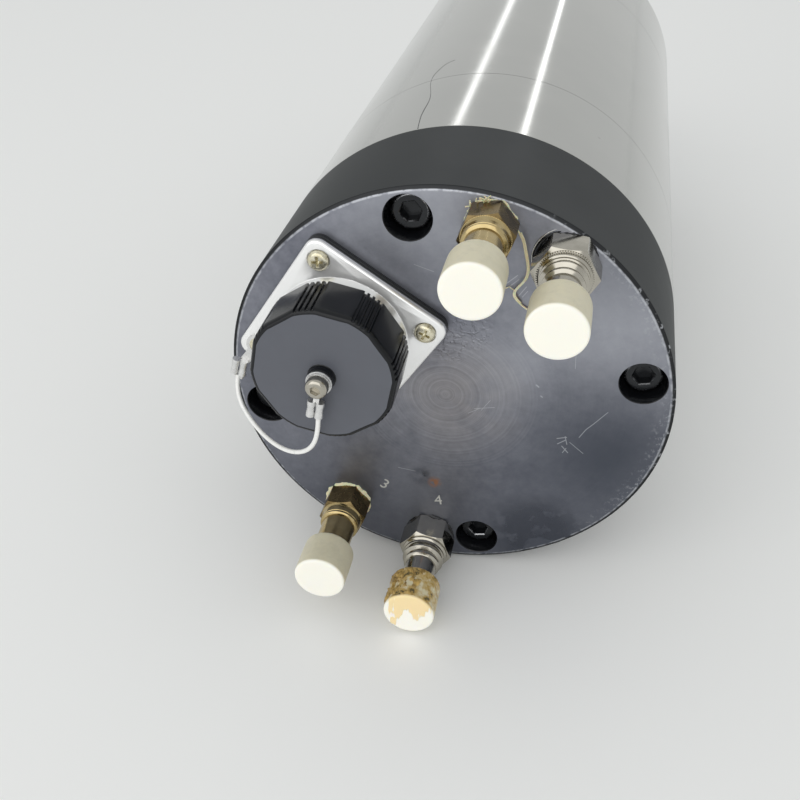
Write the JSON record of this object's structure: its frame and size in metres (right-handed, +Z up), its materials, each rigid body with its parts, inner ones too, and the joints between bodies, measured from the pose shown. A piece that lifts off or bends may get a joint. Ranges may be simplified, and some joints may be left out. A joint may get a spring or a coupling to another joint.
{
  "type": "motor spindle",
  "caption": "Round-bodied electric spindle with a collet nose, a black rear cover, four capped hose ports and a power connector under a tethered screw cap.",
  "frame": {"origin": "on the spindle axis, half way along the ground motor housing where a clamp grips it", "axes": "+Y along the spindle axis towards the collet nose, +Z up with the spindle lying on its side, +X to the right seen from behind"},
  "size_m": [0.12, 0.3426, 0.12],
  "materials": {
    "black_steel": "black oxide, fine turned",
    "ground_steel": "cylindrically ground",
    "turned_steel": "turned",
    "black_screw": "black oxide",
    "aluminium": "milled",
    "lamination": "laminated",
    "copper_winding": "lacquered",
    "bearing_steel": "polished",
    "cage_brass": "machined",
    "brass": "machined, tarnished",
    "nickel": "nickel plated",
    "white_rubber": "soft, translucent white",
    "black_rubber": "matt",
    "black_plastic": "moulded",
    "contact_silver": "plated",
    "crimp_metal": "crimped",
    "coated_wire": "clear coated strand"
  },
  "bodies": {
    "root": {"rear_cover": "black_steel", "rear_bearing_housing": "ground_steel", "motor_housing": "ground_steel", "front_bearing_housing": "ground_steel", "front_cover": "turned_steel", "cover_bolts": "black_screw", "cooling_jacket": "aluminium", "stator_core": "lamination", "rear_winding": "copper_winding", "front_winding": "copper_winding", "rear_bearing_outer_ring": "bearing_steel", "front_bearing_outer_ring": "bearing_steel", "brass_fittings": "brass", "nickel_fittings": "nickel", "connector_gasket": "black_rubber", "connector_shell": "nickel", "connector_insert": "black_plastic", "contact_blades": "contact_silver", "corner_tab": "crimp_metal"},
    "shaft": {"shaft": "turned_steel", "rotor_core": "lamination", "rear_bearing_inner_ring": "bearing_steel", "front_bearing_inner_ring": "bearing_steel", "lock_nut": "black_screw", "labyrinth_ring": "turned_steel"},
    "ball_cages": {"rear_ball_cage": "cage_brass", "front_ball_cage": "cage_brass"},
    "collet": {"collet": "turned_steel"},
    "collet_nut": {"collet_nut": "black_screw"},
    "cap_eyelet": {"cap_eyelet": "crimp_metal", "lanyard": "coated_wire"},
    "dust_cap": {"dust_cap": "black_plastic", "swivel_screw": "nickel"},
    "port_cap_1": {"port_cap_1": "white_rubber"},
    "port_cap_2": {"port_cap_2": "white_rubber"},
    "port_cap_3": {"port_cap_3": "white_rubber"},
    "port_cap_4": {"port_cap_4": "white_rubber"}
  },
  "joints": [
    {"name": "shaft_spin", "type": "hinge", "parent": "root", "child": "shaft", "pos_m": [0, 0, 0], "axis": [0, 1, 0], "continuous": true},
    {"name": "cage_spin", "type": "hinge", "parent": "root", "child": "ball_cages", "pos_m": [0, 0, 0], "axis": [0, 1, 0], "continuous": true},
    {"name": "collet_draw", "type": "slide", "parent": "shaft", "child": "collet", "axis": [0, 1, 0], "range_m": [0, 0.00451]},
    {"name": "collet_nut_turn", "type": "hinge", "parent": "collet", "child": "collet_nut", "pos_m": [0, 0.15465, 0], "axis": [0, 1, 0], "range_deg": [0, 1080]},
    {"name": "dust_cap_lift", "type": "slide", "parent": "root", "child": "cap_eyelet", "axis": [0, -1, 0], "range_m": [0, 0.01201]},
    {"name": "dust_cap_turn", "type": "hinge", "parent": "cap_eyelet", "child": "dust_cap", "pos_m": [-0.0277, -0.14975, 0.01675], "axis": [0, -1, 0], "range_deg": [0, 1440]},
    {"name": "port_cap_1_pull", "type": "slide", "parent": "root", "child": "port_cap_1", "axis": [0, -1, 0], "range_m": [0, 0.016]},
    {"name": "port_cap_2_pull", "type": "slide", "parent": "root", "child": "port_cap_2", "axis": [0, -1, 0], "range_m": [0, 0.016]},
    {"name": "port_cap_3_pull", "type": "slide", "parent": "root", "child": "port_cap_3", "axis": [0, -1, 0], "range_m": [0, 0.016]},
    {"name": "port_cap_4_pull", "type": "slide", "parent": "root", "child": "port_cap_4", "axis": [0, -1, 0], "range_m": [0, 0.016]}
  ],
  "couplings": [
    {"joint": "cage_spin", "follows": "shaft_spin", "ratio": 0.42},
    {"joint": "collet_draw", "follows": "collet_nut_turn", "m_per_rad": 0.00023873},
    {"joint": "dust_cap_lift", "follows": "dust_cap_turn", "m_per_rad": 0.00047746}
  ]
}
